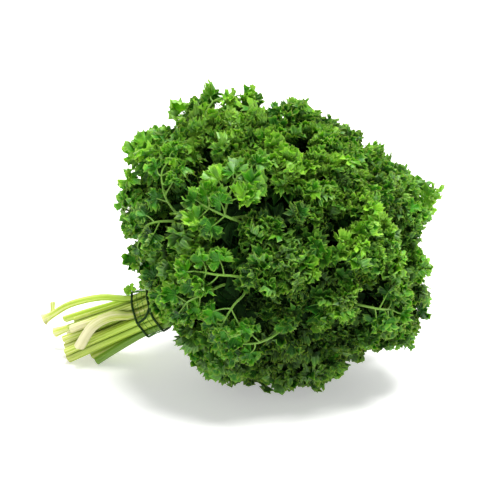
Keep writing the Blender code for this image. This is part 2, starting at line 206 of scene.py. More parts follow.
# Places of the leafy stems

def stem_angles(index):
    share = (index + 0.5) / STEMS
    polar = acos(1.0 - (1.0 - cos(WIDEST_POLAR)) * share)
    return polar, (index - DOWN_STEM) * GOLDEN_ANGLE - pi / 2.0


def stem_direction(index):
    polar, turn = stem_angles(index)
    return cos(polar) * AXIS + sin(polar) * (cos(turn) * SIDE + sin(turn) * RISE)


def head_reach(direction):
    """The head's radius in a direction, with its bulges and dips."""
    return HEAD_RADIUS + bumps(direction, BULGES)


def stalk_radii():
    draw = random.Random(SEED)
    return [draw.uniform(*STALK_RADIUS) for _ in range(STEMS)]


def packed_bundle(radii):
    """Where each stalk crosses the tie, as (side, rise): drawn together, then pushed apart."""
    places = []
    for index in range(STEMS):
        turn = stem_angles(index)[1]
        places.append(0.019 * sqrt((index + 0.5) / STEMS) * Vector((cos(turn), sin(turn))))
    rounds = 500
    for step in range(rounds):
        if step < rounds - 150:
            places = [place * 0.997 for place in places]
        for first in range(STEMS):
            for second in range(first + 1, STEMS):
                apart = places[first] - places[second]
                short = radii[first] + radii[second] + 1.3 * TOUCHING_GAP - apart.length
                if short > 0.0:
                    push = apart.normalized() * (short * 0.5)
                    places[first] = places[first] + push
                    places[second] = places[second] - push
    return places


def on_bundle(place, along):
    return HEAD - along * AXIS + place.x * SIDE + (place.y - BUNDLE_DROP) * RISE


def bezier(points, t):
    """A point on a Bezier curve of any degree."""
    while len(points) > 1:
        points = [a.lerp(b, t) for a, b in zip(points, points[1:])]
    return points[0]


def hub_heading(index):
    onward = 0.75 * (1.0 - cos(stem_angles(index)[0]))
    return (stem_direction(index) + onward * AXIS).normalized()


def fanned_out(place, along):
    spread = 1.0 + FAN_SPREAD * max(0.0, (along - TIE_FAR) / FAN_SPAN) ** 1.3
    return on_bundle(place * spread, along)


def butt_distance(index, place, radius):
    if index in LOOSE_STALKS:
        return LOOSE_STALKS[index][0]
    along = random.Random(SEED * 100 + index).uniform(BUTT_NEAR, BUTT_FAR)
    while fanned_out(place, along).z < radius * 1.12:
        along -= 0.0002
    return along


def loose_end(index, place, radius):
    """The cut end of a stalk and its middle below the tie."""
    along = butt_distance(index, place, radius)
    ends = [fanned_out(place, along), fanned_out(place, (along + TIE_FAR) / 2.0)]
    if index in LOOSE_STALKS:
        _, middle_move, end_move, _ = LOOSE_STALKS[index]
        for number, (side, rise) in enumerate((end_move, middle_move)):
            ends[number] = ends[number] + side * SIDE + rise * RISE
    if index in RESTING_STALKS:
        drop = ends[0].z - radius * 0.90
        ends[0] = ends[0] - drop / RISE.z * RISE
        ends[1] = ends[1] - 0.35 * drop / RISE.z * RISE
    return ends


def rounded(points, values, steps):
    """A polyline and its values made a smooth curve that passes through each point."""
    made, sizes = [], []
    padded = [2.0 * points[0] - points[1]] + list(points) + [2.0 * points[-1] - points[-2]]
    for number in range(len(points) - 1):
        a, b, c, d = padded[number:number + 4]
        for step in range(steps):
            t = step / steps
            made.append(0.5 * (2.0 * b + (c - a) * t + (2.0 * a - 5.0 * b + 4.0 * c - d) * t * t
                               + (3.0 * b - a - 3.0 * c + d) * t ** 3))
            sizes.append(values[number] + (values[number + 1] - values[number]) * t)
    return made + [points[-1]], sizes + [values[-1]]


def stalk_route(index, place, radius):
    """A stalk's smooth centre line, from its cut end through the tie to its hub, with its radii."""
    end, middle = loose_end(index, place, radius)
    tied, top = on_bundle(place, TIE_FAR), on_bundle(place, TIE_NEAR)
    points, radii = [end, middle], [radius * 1.1, radius * 1.03]
    if index in LOOSE_STALKS:
        thick = radius * LOOSE_STALKS[index][3]
        bend = [end, 2.0 * middle - end.lerp(tied, 0.5), tied]
        points = [end, bezier(bend, 0.36), bezier(bend, 0.70)]
        radii = [thick * 1.1, thick * 1.06, thick]
    if index in FLARED_STALKS:
        points.insert(1, end.lerp(points[1], FLARE_LENGTH / (end - points[1]).length))
        radii[0] = radius * FLARED_STALKS[index]
        radii.insert(1, radius * 1.06)
    points += [tied, top]
    radii += [radius, radius]
    hub, heading = HEAD + HUB_RADIUS * stem_direction(index), hub_heading(index)
    reach = (hub - top).length
    curve = [top, top + AXIS * reach * 0.42, hub - heading * reach * 0.36, hub]
    for step in range(1, 4):
        t = step / 3.0
        points.append(bezier(curve, t))
        radii.append(radius + (STALK_TOP_RADIUS - radius) * t)
    return rounded(points, radii, 4)


def rib_line(index, stalk_points):
    """A frond's rib, from the end of its stalk outward."""
    start, end = stalk_points[-1], HEAD + RIB_TOP * stem_direction(index)
    heading = (start - stalk_points[-2]).normalized()
    bend = start + heading * (end - start).length * 0.38
    return [bezier([start, bend, bend, end], t / 8.0) for t in range(9)]


def blade_directions(index):
    """Where a frond's blades end on the head, lowest first: a golden-angle disc over its cell."""
    own = stem_direction(index)
    draw = random.Random(SEED * 1000 + index)
    first_turn = draw.uniform(0.0, tau)
    made = []
    for blade in range(BLADES):
        share = (BLADES - blade - 0.6) / BLADES
        away = CELL_HALF_ANGLE * sqrt(share) * draw.uniform(0.92, 1.05)
        if index == DOWN_STEM:
            away = max(away, RESTING_CLEARANCE)
        made.append(turned(own, spoke(own, first_turn + blade * GOLDEN_ANGLE), away))
    if index == DOWN_STEM:
        made[-1] = (Vector(RESTING_SPOT) - HEAD).normalized()
    return made


# Mesh making

def ring_edges(ring):
    """The edges that join a ring's points."""
    own = set(ring)
    edges = [edge for vert in ring for edge in vert.link_edges if edge.other_vert(vert) in own]
    return list(dict.fromkeys(edges))


def sweep(work, path, radii, sides, ridge=0.0, ridges=0, closed=False, twist=0.0):
    """A tube extruded ring by ring along a path, its section ridged if asked. It returns its rings."""
    rings, normal = [], None
    count = len(path)
    for step, (point, radius) in enumerate(zip(path, radii)):
        before = path[step - 1] if step or closed else point
        after = path[(step + 1) % count] if step + 1 < count or closed else point
        along = (after - before).normalized()
        if normal is None:
            normal = along.orthogonal().normalized()
        normal = (normal - normal.dot(along) * along).normalized()
        across = along.cross(normal)
        if step == 0:
            ring = bmesh.ops.create_circle(work, segments=sides, radius=1.0)["verts"]
        else:
            geom = bmesh.ops.extrude_edge_only(work, edges=ring_edges(rings[-1]))["geom"]
            new = {v for v in geom if isinstance(v, bmesh.types.BMVert)}
            ring = [next(edge.other_vert(vert) for edge in vert.link_edges if edge.other_vert(vert) in new)
                    for vert in rings[-1]]
        for corner, vert in enumerate(ring):
            turn = tau * corner / sides + twist * step
            size = radius * (1.0 + ridge * cos(ridges * turn)) if ridges else radius
            vert.co = point + size * (cos(turn) * normal + sin(turn) * across)
        rings.append(ring)
    if closed:
        bmesh.ops.bridge_loops(work, edges=ring_edges(rings[0]) + ring_edges(rings[-1]))
    return rings


def cap(work, ring):
    """Closes an open end of a tube with a face."""
    return bmesh.ops.edgeloop_fill(work, edges=ring_edges(ring))["faces"]


def as_mesh(work, name):
    mesh = bpy.data.meshes.new(name)
    work.to_mesh(mesh)
    work.free()
    return mesh


def in_scene(name, data):
    obj = bpy.data.objects.new(name, data)
    bpy.context.scene.collection.objects.link(obj)
    return obj


def finished(name, work, material, cad_node, sharp=radians(50.0)):
    """A bmesh made a piece of the scene that stands for a CAD node. It returns its mesh."""
    mesh = as_mesh(work, name)
    mesh.materials.append(material)
    mesh.shade_smooth()
    mesh.set_sharp_from_angle(angle=sharp)
    obj = in_scene(name, mesh)
    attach(obj, "root")
    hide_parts(cad_node)
    return mesh


def set_attribute(mesh, name, values):
    attribute = mesh.attributes.new(name, "FLOAT", "POINT")
    attribute.data.foreach_set("value", np.asarray(values, dtype=np.float32))


# Leaves

def thin_lens(work, thickness):
    """Doubles an open sheet into a closed blade that is thickest inside and sharp at its rim."""
    work.normal_update()
    under = work.verts.layers.float["under"]
    inner = {vert: vert.normal.copy() for vert in work.verts if not vert.is_boundary}
    doubled = bmesh.ops.duplicate(work, geom=work.verts[:] + work.edges[:] + work.faces[:])
    lower = [face for face in doubled["geom"] if isinstance(face, bmesh.types.BMFace)]
    bmesh.ops.reverse_faces(work, faces=lower)
    for vert, normal in inner.items():
        twin = doubled["vert_map"][vert]
        twin.co = vert.co - normal * thickness
        twin[under] = 1.0
    bmesh.ops.remove_doubles(work, verts=work.verts[:], dist=0.002)


def open_sheet(columns):
    """A flat grid, -1 to 1 each way, with its layers for the place across and the rim."""
    work = bmesh.new()
    rim, across, _ = [work.verts.layers.float.new(name) for name in ("rim", "across", "under")]
    bmesh.ops.create_grid(work, x_segments=columns, y_segments=2, size=1.0)
    return work, rim, across


def as_template(work, thickness, name):
    """A warped sheet made a closed blade and kept as a mesh."""
    bmesh.ops.remove_doubles(work, verts=work.verts[:], dist=0.001)
    thin_lens(work, thickness)
    return as_mesh(work, name)


def leaflet_template(number):
    """One crisped leaflet, 1 long: a grid warped to a three-lobed fan with fine, ruffled teeth."""
    draw = random.Random(SEED * 77 + number)
    if number < CURLY_TEMPLATES:
        half_angle = radians(draw.uniform(88.0, 120.0))
        droop, ruffle, curl = draw.uniform(-0.6, 0.4), draw.uniform(0.14, 0.24), draw.uniform(-0.12, 0.32)
        notch, split, lift_range, fold, wave = 0.86, 0.48, 0.42, draw.uniform(0.04, 0.10), 4.3
    else:
        half_angle = radians(draw.uniform(78.0, 106.0))
        droop, ruffle, curl = draw.uniform(0.0, 0.60), draw.uniform(0.09, 0.16), draw.uniform(-0.22, 0.20)
        notch, split, lift_range, fold, wave = 0.90, 0.56, 0.30, draw.uniform(0.02, 0.06), 5.4
    phase = draw.uniform(0.0, tau)
    lobe_lift = [draw.uniform(-lift_range, lift_range) for _ in range(3)]
    tooth = [draw.uniform(0.93, 1.04) for _ in range(TEETH)]

    work, layer_rim, layer_across = open_sheet(COLUMNS)
    for vert in work.verts:
        across, outward = (vert.co.x + 1.0) / 2.0, (vert.co.y + 1.0) / 2.0
        column = round(across * COLUMNS)
        lobe = sum(column > first for first in LOBE_SPLITS)
        rounding = 1.0 - SIDE_FALL * (abs(column - LOBE_MIDDLES[lobe]) / 4.0) ** 2
        narrowing = 1.0 - SIDE_FALL * abs(2.0 * across - 1.0)
        if column in (0, COLUMNS):
            reach = 0.55
        elif column % 2:
            reach = tooth[column // 2] * rounding
        else:
            reach = split if column in LOBE_SPLITS else notch * rounding
        reach *= narrowing
        if outward < 0.9:
            reach = 0.30 * reach + 0.34 * narrowing
        if outward < 0.1:
            reach = 0.0
        swing = half_angle * (2.0 * across - 1.0)
        crease = 0.0 if column % 2 else fold
        lift = (crease - droop * reach + lobe_lift[lobe] * reach) * reach
        if outward > 0.9:
            lift += curl + ruffle * sin(phase + column * tau / wave)
            reach -= 0.35 * abs(curl)
        vert.co = Vector((reach * sin(swing), reach * cos(swing), lift))
        vert[layer_rim], vert[layer_across] = outward * (1.0 if column % 2 else 0.86), across
    return as_template(work, LEAF_THICKNESS / USUAL_LENGTH, f"leaflet_{number}")


def inner_template():
    """A plain folded fan, 1 long, for the leaves that are seen only through the gaps."""
    work, _, layer_across = open_sheet(INNER_COLUMNS)
    for vert in work.verts:
        across, outward = (vert.co.x + 1.0) / 2.0, (vert.co.y + 1.0) / 2.0
        column = round(across * INNER_COLUMNS)
        reach = outward * (0.72 if column % 2 and outward > 0.9 else 1.0)
        swing = radians(100.0) * (2.0 * across - 1.0)
        lift = 0.22 * reach * (1.0 if column % 2 else -1.0)
        vert.co = Vector((reach * sin(swing), reach * cos(swing), lift))
        vert[layer_across] = across
    return as_template(work, 0.02, "inner_leaf")


def facing(heading, outward, spin):
    """A turn that points Y along heading and Z as near to outward as it can, then spun about heading."""
    up = outward - outward.dot(heading) * heading
    up = up.normalized() if up.length > 1e-4 else heading.orthogonal().normalized()
    up = Matrix.Rotation(spin, 3, heading) @ up
    side = heading.cross(up)
    return Matrix((side, heading, up)).transposed()


def kept_clear(point):
    """A point moved up off the floor, out of the stalk bundle and back from the tie."""
    down = -(point - HEAD).dot(AXIS)
    lateral = point - HEAD + down * AXIS
    upward = max(0.0, lateral.normalized().dot(RISE))
    limit = LEAF_END + (LEAF_END_RISE * upward - LEAF_END_SLOPE * (1.0 - upward)) * lateral.length
    if down > limit:
        point = point + (down - limit) * AXIS
        down = limit
    if down > 0.0:
        lateral = point - (HEAD - down * AXIS - BUNDLE_DROP * min(1.0, down / TIE_NEAR) * RISE)
        if lateral.length < BUNDLE_CLEAR:
            point = point + lateral.normalized() * (BUNDLE_CLEAR - lateral.length)
    return Vector((point.x, point.y, max(point.z, LIFT_OFF_FLOOR)))


def on_surface(way, share, inset=0.0):
    return kept_clear(HEAD + way * (head_reach(way) * share - inset))


def surface_share(way, sprays):
    """How far out the leaves stand in a direction: in irregular gaps and under the sprays, less."""
    pattern = noise.noise(way * GAP_PATTERN) + 0.5 * noise.noise(way * 2.2 * GAP_PATTERN)
    share = 1.0 - GAP_DEPTH * min(1.0, max(0.0, (pattern - GAP_START) / (GAP_FULL - GAP_START)))
    share += (1.0 - share) * 0.7 * min(1.0, max(0.0, 3.0 * way.dot(SHOWN_SIDE)))
    for at, _, _ in sprays:
        share -= SPRAY_GAP * falloff(way, at, SPRAY_GAP_WIDTH)
    for towards in SHOWN_GAPS:
        share -= SHOWN_GAP * falloff(way, towards, SHOWN_GAP_WIDTH)
    return max(share + bumps(way, LEAF_LOBES), LEAST_SHARE)


def all_sprays():
    """The leaves that lie on the outside: for a frond and a blade, where, which way and if upside down."""
    made = {index: {} for index in range(STEMS)}
    for index in range(FIRST_SPRAY_FROND, STEMS):
        draw = random.Random(SEED * 900 + index)
        directions = blade_directions(index)
        for blade in SPRAY_BLADES:
            at = directions[blade]
            onward = AXIS + 0.8 * Vector([draw.uniform(-1.0, 1.0) for _ in range(3)])
            run = (onward - onward.dot(at) * at).normalized()
            if at.z > -0.62 and at.dot(AXIS) > -0.80 and at.dot(SHOWN_SIDE) < 0.20:
                made[index][blade] = (at, run, False)
    blades = [(way, index, blade) for index in range(STEMS)
              for blade, way in enumerate(blade_directions(index))]
    for at, run, underside in SHOWN_SPRAYS:
        at = Vector(at).normalized()
        free = [place for place in blades if place[2] not in made[place[1]]]
        _, index, blade = min(free, key=lambda place: place[0].angle(at))
        made[index][blade] = (at, Vector(run).normalized(), underside)
    return made


class Frond:
    """Collects one frond: stems in a bmesh, and the place of every leaflet."""

    def __init__(self, index, sprays):
        self.draw = random.Random(SEED * 5000 + index)
        self.work = bmesh.new()
        self.leaflets = []
        self.sprays = sprays
        self.age = index / (STEMS - 1)

    def stem(self, points, radii, sides):
        rings = sweep(self.work, points, radii, sides)
        cap(self.work, rings[0])
        cap(self.work, rings[-1])

    def length(self):
        young, old = self.draw.uniform(*YOUNG_LENGTH), self.draw.uniform(*OLD_LENGTH)
        return young + (old - young) * self.age

    def leaflet(self, base, heading, outward, length, tint, upside_down=False, fan=False):
        draw = self.draw
        spin = draw.gauss(0.0, 0.62 - 0.24 * self.age) + (pi if upside_down else 0.0)
        turn = facing(heading, outward, spin).to_4x4()
        wide = length * draw.uniform(0.85, 1.12) * draw.choice((-1.0, 1.0))
        place = Matrix.Translation(base) @ turn @ Matrix.Diagonal((wide, length, length, 1.0))
        is_fan = draw.random() < 0.06 + 0.44 * self.age ** 2 or fan
        pick = CURLY_TEMPLATES + draw.randrange(FAN_TEMPLATES) if is_fan else draw.randrange(CURLY_TEMPLATES)
        self.leaflets.append((pick, place, tint))

    def inner_leaves(self, crown, outward, tint, scale=1.0):
        """Plain leaves deep in the head, which close it behind its gaps."""
        first = self.draw.uniform(0.0, tau)
        for leaf in range(INNER_LEAVES):
            lean = spoke(outward, first + leaf * GOLDEN_ANGLE)
            heading = turned(outward, lean, radians(self.draw.uniform(62.0, 88.0)))
            turn = facing(heading, outward, self.draw.gauss(0.0, 0.2)).to_4x4()
            size = scale * self.draw.uniform(0.0145, 0.0185)
            place = Matrix.Translation(crown - outward * 0.004 * (leaf + 1)) @ turn @ Matrix.Scale(size, 4)
            # Painted shade: these leaves deep in the head are tinted darker than the leaves round them
            self.leaflets.append((INNER_TEMPLATE, place, tint - 0.25))

    def tuft(self, twig, way, tint):
        """Leaflets set round the end of a twig, lower ones lying flatter, in a dome."""
        draw = self.draw
        run = (twig[-1] - twig[0]).normalized()
        first = draw.uniform(0.0, tau)
        flipped = draw.random() < UNDERSIDE_SHARE
        count = round(YOUNG_LEAFLETS + (OLD_LEAFLETS - YOUNG_LEAFLETS) * self.age)
        if way.z < -0.8:
            count -= 2
        for number in range(count):
            share = 1.0 - 0.62 * number / max(1, count - 1)
            lean = spoke(run, first + number * GOLDEN_ANGLE)
            tip = draw.uniform(28.0, 54.0) + 12.0 * self.age + 16.0 * (1.0 - share)
            tip = draw.uniform(8.0, 36.0) if number == 0 else tip
            axis = run.lerp(way, 0.5).normalized()
            heading = turned(axis, (lean - lean.dot(axis) * axis).normalized(), radians(tip))
            length = self.length() * (1.18 if flipped else 1.0)
            shade = tint + draw.uniform(-0.14, 0.14)
            self.leaflet(bezier(twig, share), heading, way, length, shade, flipped)


def add_blade(frond, path, number, outward, tint):
    """One of a frond's blades: a stem to its crown, and twigs that end in tufts on the head's surface."""
    draw = frond.draw
    root = path[min(8, 3 + round(5 * number / (BLADES - 1)))]
    reach_share = draw.uniform(0.93, 1.0)
    first = draw.uniform(0.0, tau)
    ends = []
    for twig in range(BRANCHLETS):
        away = 0.0 if twig == 0 else radians(draw.uniform(6.0, 10.5))
        way = turned(outward, spoke(outward, first + twig * tau / (BRANCHLETS - 1)), away)
        share = reach_share * (draw.uniform(0.985, 1.01) if twig == 0 else draw.uniform(0.92, 1.01))
        share *= surface_share(way, frond.sprays) * (0.965 if way.z < -0.55 else 1.0)
        if draw.random() < 0.10:
            share += 0.03
        inset = YOUNG_REACH + (OLD_REACH - YOUNG_REACH) * frond.age
        ends.append((on_surface(way, share, inset), way))
    wander = 0.004 * Vector([draw.uniform(-1.0, 1.0) for _ in range(3)])
    crown = kept_clear(root.lerp(ends[0][0], 0.60) + wander)
    bend = root.lerp(crown, 0.5) + 0.16 * (crown - root).length * (path[-1] - path[0]).normalized()
    frond.stem([bezier([root, bend, crown], t / 3.0) for t in range(4)], BLADE_STEM_RADII, 4)
    frond.inner_leaves(crown, outward, tint)
    for end, way in ends:
        twig = [crown, crown.lerp(end, 0.5) + way * 0.12 * (end - crown).length, end]
        frond.stem(twig, TWIG_RADII, 3)
        frond.tuft(twig, way, tint + draw.uniform(-0.17, 0.17))


def add_spray(frond, path, at, run, underside, tint):
    """A leaf lying on the outside of the head, its forked pale ribs showing and fans at their ends."""
    draw = frond.draw
    frond.inner_leaves(on_surface(at, SPRAY_FLOOR_SHARE), at, tint)
    bend = draw.choice((-1.0, 1.0)) * draw.uniform(1.5, 4.5)
    way = turned(at, run, radians(-10.0))
    ways, heading = [way], run
    for step in range(4):
        side = way.cross(heading)
        heading = (heading - heading.dot(way) * way).normalized()
        heading = turned(heading, side, radians(bend * (step + 0.5)))
        way = turned(way, heading, radians(draw.uniform(4.2, 5.8)))
        ways.append(way)
    shares = (0.80, 0.915, draw.uniform(0.93, 0.965), draw.uniform(0.93, 0.975), 0.945)
    rib = [on_surface(way, share + bumps(way, LEAF_LOBES)) for way, share in zip(ways, shares)]
    smooth, radii = rounded([path[6]] + rib, SPRAY_RIB_RADII, 3)
    frond.stem(smooth, radii, 6)
    hand = draw.choice((-1.0, 1.0))
    forks = [(6 + draw.randrange(3), hand, draw.uniform(0.95, 1.3)), (7, -hand, draw.uniform(0.8, 1.2)),
             (11, hand, 0.85), (11 + draw.randrange(3), -hand, 0.8), (15, 0.15 * hand, 0.45)]
    for place, hand, far in forks:
        start = smooth[place]
        way = (start - HEAD).normalized()
        along = (smooth[min(15, place + 1)] - smooth[place - 1]).normalized()
        side = way.cross(along) * hand
        onward = draw.uniform(0.5, 1.0) if abs(hand) == 1.0 else 2.0
        spread = radians(6.6 * far * draw.uniform(0.85, 1.15))
        out = turned(way, (side + onward * along).normalized(), spread)
        end = on_surface(out, draw.uniform(0.93, 0.985) + bumps(out, LEAF_LOBES), 0.003)
        middle = start.lerp(end, 0.5) + way * 0.0020 - along * draw.uniform(0.0005, 0.0035)
        twig = [start, middle, end]
        frond.stem([bezier(twig, t / 4.0) for t in range(5)], SPRAY_TWIG_RADII, 5)
        aim = (end - middle).normalized()
        across = aim.cross(out).normalized()
        shade = tint + draw.uniform(-0.18, 0.10)
        for leaf, (swing, share) in enumerate(SPRAY_FANS):
            flat = leaf < 3
            forward = (aim + swing * across + (-0.10 if flat else 0.45) * out).normalized()
            length = draw.uniform(*SPRAY_FAN_LENGTH) * (0.90 if leaf else 1.08)
            if underside:
                length *= 1.15
            shaded = shade + draw.uniform(-0.12, 0.04)
            frond.leaflet(bezier(twig, share), forward, out, length, shaded, underside and flat, flat)


def add_sprig(frond, start):
    """A small side leaf of the topmost stalk, caught just outside the tie."""
    tip = start + 0.0062 * RISE + 0.0016 * AXIS
    frond.stem([start, start.lerp(tip, 0.5), tip], [0.0007, 0.0006, 0.0005], 5)
    for along, rise, side in SPRIG_FANS:
        heading = (along * AXIS + rise * RISE + side * SIDE).normalized()
        frond.leaflet(tip, heading, RISE - SIDE, 0.0060, 0.50, fan=True)


def raised_off_floor(places):
    """Points near or below the floor moved up, the lowest the most."""
    low, start = FLOOR_CLEAR
    height = places[:, 2]
    squeezed = low + (start - low) * np.exp(np.minimum(0.0, (height - start) / (start - low)))
    places[:, 2] = np.where(height < start, squeezed, height)
    return places


def depth_shares(places):
    """How far out points lie, as a share of the head's radius in their direction."""
    from_head = places - np.array(HEAD)
    distance = np.linalg.norm(from_head, axis=1)
    reach = np.full(len(places), HEAD_RADIUS)
    for towards, height, width in BULGES:
        cosine = from_head @ np.array(Vector(towards).normalized()) / distance
        reach += height * np.exp(-((np.degrees(np.arccos(np.clip(cosine, -1.0, 1.0))) / width) ** 2))
    return distance / reach


def build_leaves(index, stalk_points, templates, material, sprays, sprig):
    """One frond: its rib, the stems of its blades, their twigs and every leaflet on them."""
    frond = Frond(index, [spray for own in sprays.values() for spray in own.values()])
    path = rib_line(index, stalk_points)
    frond.stem(path, [0.0016 - 0.0006 * t / 8.0 for t in range(9)], 6)
    frond_tint = frond.draw.uniform(-0.12, 0.12)
    frond.inner_leaves(path[5], stem_direction(index), frond_tint, CORE_LEAF_SCALE)
    for number, outward in enumerate(blade_directions(index)):
        # Painted light: blades facing up are tinted lighter, those facing down darker
        tint = frond_tint + frond.draw.uniform(-0.12, 0.12) + 0.28 * outward.z - 0.03
        # Some places are tinted lighter or darker: partly painted light and shade, partly fresher and older
        # leaves
        tint += bumps(outward, LIGHT_AND_FRESHNESS)
        if number in sprays[index]:
            add_spray(frond, path, *sprays[index][number], tint)
        else:
            add_blade(frond, path, number, outward, tint)
    if sprig:
        add_sprig(frond, sprig)
    work = frond.work
    bmesh.ops.recalc_face_normals(work, faces=work.faces[:])
    stems = len(work.verts)
    tints = [0.0] * stems
    for template, place, tint in frond.leaflets:
        mesh = templates[template].copy()
        mesh.transform(place)
        if place.determinant() < 0.0:
            mesh.flip_normals()
        work.from_mesh(mesh)
        tints += [tint] * len(mesh.vertices)
        bpy.data.meshes.remove(mesh)
    mesh = finished(f"leaves_{index + 1:02d}", work, material, f"frond_{index + 1:02d}")
    places = np.empty(len(mesh.vertices) * 3, np.float32)
    mesh.vertices.foreach_get("co", places)
    places = raised_off_floor(places.reshape(-1, 3))
    mesh.vertices.foreach_set("co", places.reshape(-1))
    mesh.update()
    set_attribute(mesh, "tint", tints)
    set_attribute(mesh, "stem", [1.0] * stems + [0.0] * (len(mesh.vertices) - stems))
    set_attribute(mesh, "depth", depth_shares(places))


# Materials

LEAF_GREENS = ((0.16, "#0c3806"), (0.40, "#206208"), (0.62, "#3e8e0c"), (0.88, "#8ac628"))
STALK_GREENS = ((0.0, "#dcd6a2"), (0.16, "#c0d03e"), (0.34, "#9cb81a"), (0.60, "#a6c826"), (0.95, "#aed244"))
CREST_GREENS = ((0.10, "#eeeabc"), (0.34, "#e4ea94"), (0.62, "#d8ee74"), (0.95, "#c8ea60"))
NET_GREENS = ((0.0, "#0f2405"), (1.0, "#254f0b"))
WRAP_PITCH = 0.0009


def linear(hex_colour):
    """An sRGB hex colour as linear RGBA."""
    made = []
    for start in (1, 3, 5):
        value = int(hex_colour[start:start + 2], 16) / 255.0
        made.append(value / 12.92 if value <= 0.04045 else ((value + 0.055) / 1.055) ** 2.4)
    return (*made, 1.0)


def fill(tree, made, inputs):
    """Sets a node's inputs, each to a value or linked from a socket."""
    for name, value in inputs.items():
        if isinstance(value, bpy.types.NodeSocket):
            tree.links.new(value, made.inputs[name])
        else:
            made.inputs[name].default_value = value


def node(tree, kind, inputs=None, output=0, stops=(), **settings):
    """Adds a node with its settings and links, and a ramp's stops, and returns one of its outputs."""
    made = tree.nodes.new(kind)
    for name, value in settings.items():
        setattr(made, name, value)
    fill(tree, made, inputs or {})
    if stops:
        elements = made.color_ramp.elements
        while len(elements) < len(stops):
            elements.new(0.5)
        for element, (position, colour) in zip(elements, stops):
            element.position = position
            element.color = linear(colour)
    return made.outputs[output]


def painted(tree, colour, coats):
    """A colour with others laid over it, each by its share."""
    for share, coat in coats:
        over = linear(coat) if isinstance(coat, str) else coat
        colour = node(tree, "ShaderNodeMix", {0: share, 6: colour, 7: over}, 2, data_type="RGBA")
    return colour


def new_material(name, attributes=""):
    """A material, its node tree and shader, and outputs for the mesh attributes that are named."""
    material = bpy.data.materials.new(name)
    material.use_nodes = True
    tree = material.node_tree
    marks = [node(tree, "ShaderNodeAttribute", output="Fac", attribute_name=attribute)
             for attribute in attributes.split()]
    return material, tree, tree.nodes["Principled BSDF"], marks


def parsley_leaf():
    """Fresh parsley leaf: thin, waxy and crisp, pale along veins and cut teeth, paler below; painted
    highlight on the teeth and painted shade deep in the head.
    """
    material, tree, shader, marks = new_material("parsley_leaf_fresh", "tint rim under across stem depth")
    tint, rim, under, across, stem, depth = marks
    place = node(tree, "ShaderNodeTexCoord", output="Object")
    # Growth patches about 14 mm across
    patches = node(tree, "ShaderNodeTexNoise", {"Vector": place, "Scale": 70.0, "Detail": 2.0})
    shade = node(tree, "ShaderNodeMath", {0: tint, 1: patches}, operation="ADD")
    green = node(tree, "ShaderNodeValToRGB", {"Fac": shade}, stops=LEAF_GREENS)
    # Veins fan from the leaflet's base, one to a tooth
    wave = node(tree, "ShaderNodeMath", {0: across, 1: tau * TEETH}, operation="MULTIPLY")
    vein = node(tree, "ShaderNodeMath", {0: wave}, operation="COSINE")
    vein = node(tree, "ShaderNodeMapRange", {0: vein, 1: -1.0, 2: -0.30, 3: 0.24, 4: 0.0})
    # The teeth are paler: partly the leaf's own pale tips, partly a painted highlight on the curled margins
    edge = node(tree, "ShaderNodeMapRange", {0: rim, 1: 0.62, 2: 1.0, 3: 0.0, 4: 0.55})
    below = node(tree, "ShaderNodeMath", {0: under, 1: 0.50}, operation="MULTIPLY")
    # Painted shade: leaves deep in the head are painted darker, as the head's own shade darkens them
    deep = node(tree, "ShaderNodeMapRange", {0: depth, 1: 0.96, 2: 0.75, 3: 0.0, 4: 0.85})
    coats = ((vein, "#7cbc36"), (edge, "#98cc44"), (below, "#84a862"), (deep, "#12300a"), (stem, "#709a3c"))
    # Leaf cells, drawn 0.8 mm across so that they show
    cells = node(tree, "ShaderNodeTexNoise", {"Vector": place, "Scale": 1250.0, "Detail": 2.0})
    height = node(tree, "ShaderNodeMath", {0: cells, 1: vein}, operation="ADD")
    gloss = node(tree, "ShaderNodeMapRange", {0: patches, 1: 0.3, 2: 0.7, 3: 0.36, 4: 0.50})
    fill(tree, shader, {
        "Base Color": painted(tree, green, coats),
        "Normal": node(tree, "ShaderNodeBump", {"Height": height, "Strength": 0.35, "Distance": 0.0003}),
        "Roughness": node(tree, "ShaderNodeMath", {0: deep, 1: 0.50, 2: gloss}, operation="MULTIPLY_ADD"),
        "IOR": 1.40,
        "Specular IOR Level": 0.38,
        "Subsurface Weight": 0.25,
        "Subsurface Radius": (0.5, 1.0, 0.15),
        "Subsurface Scale": 0.0008,
    })
    return material


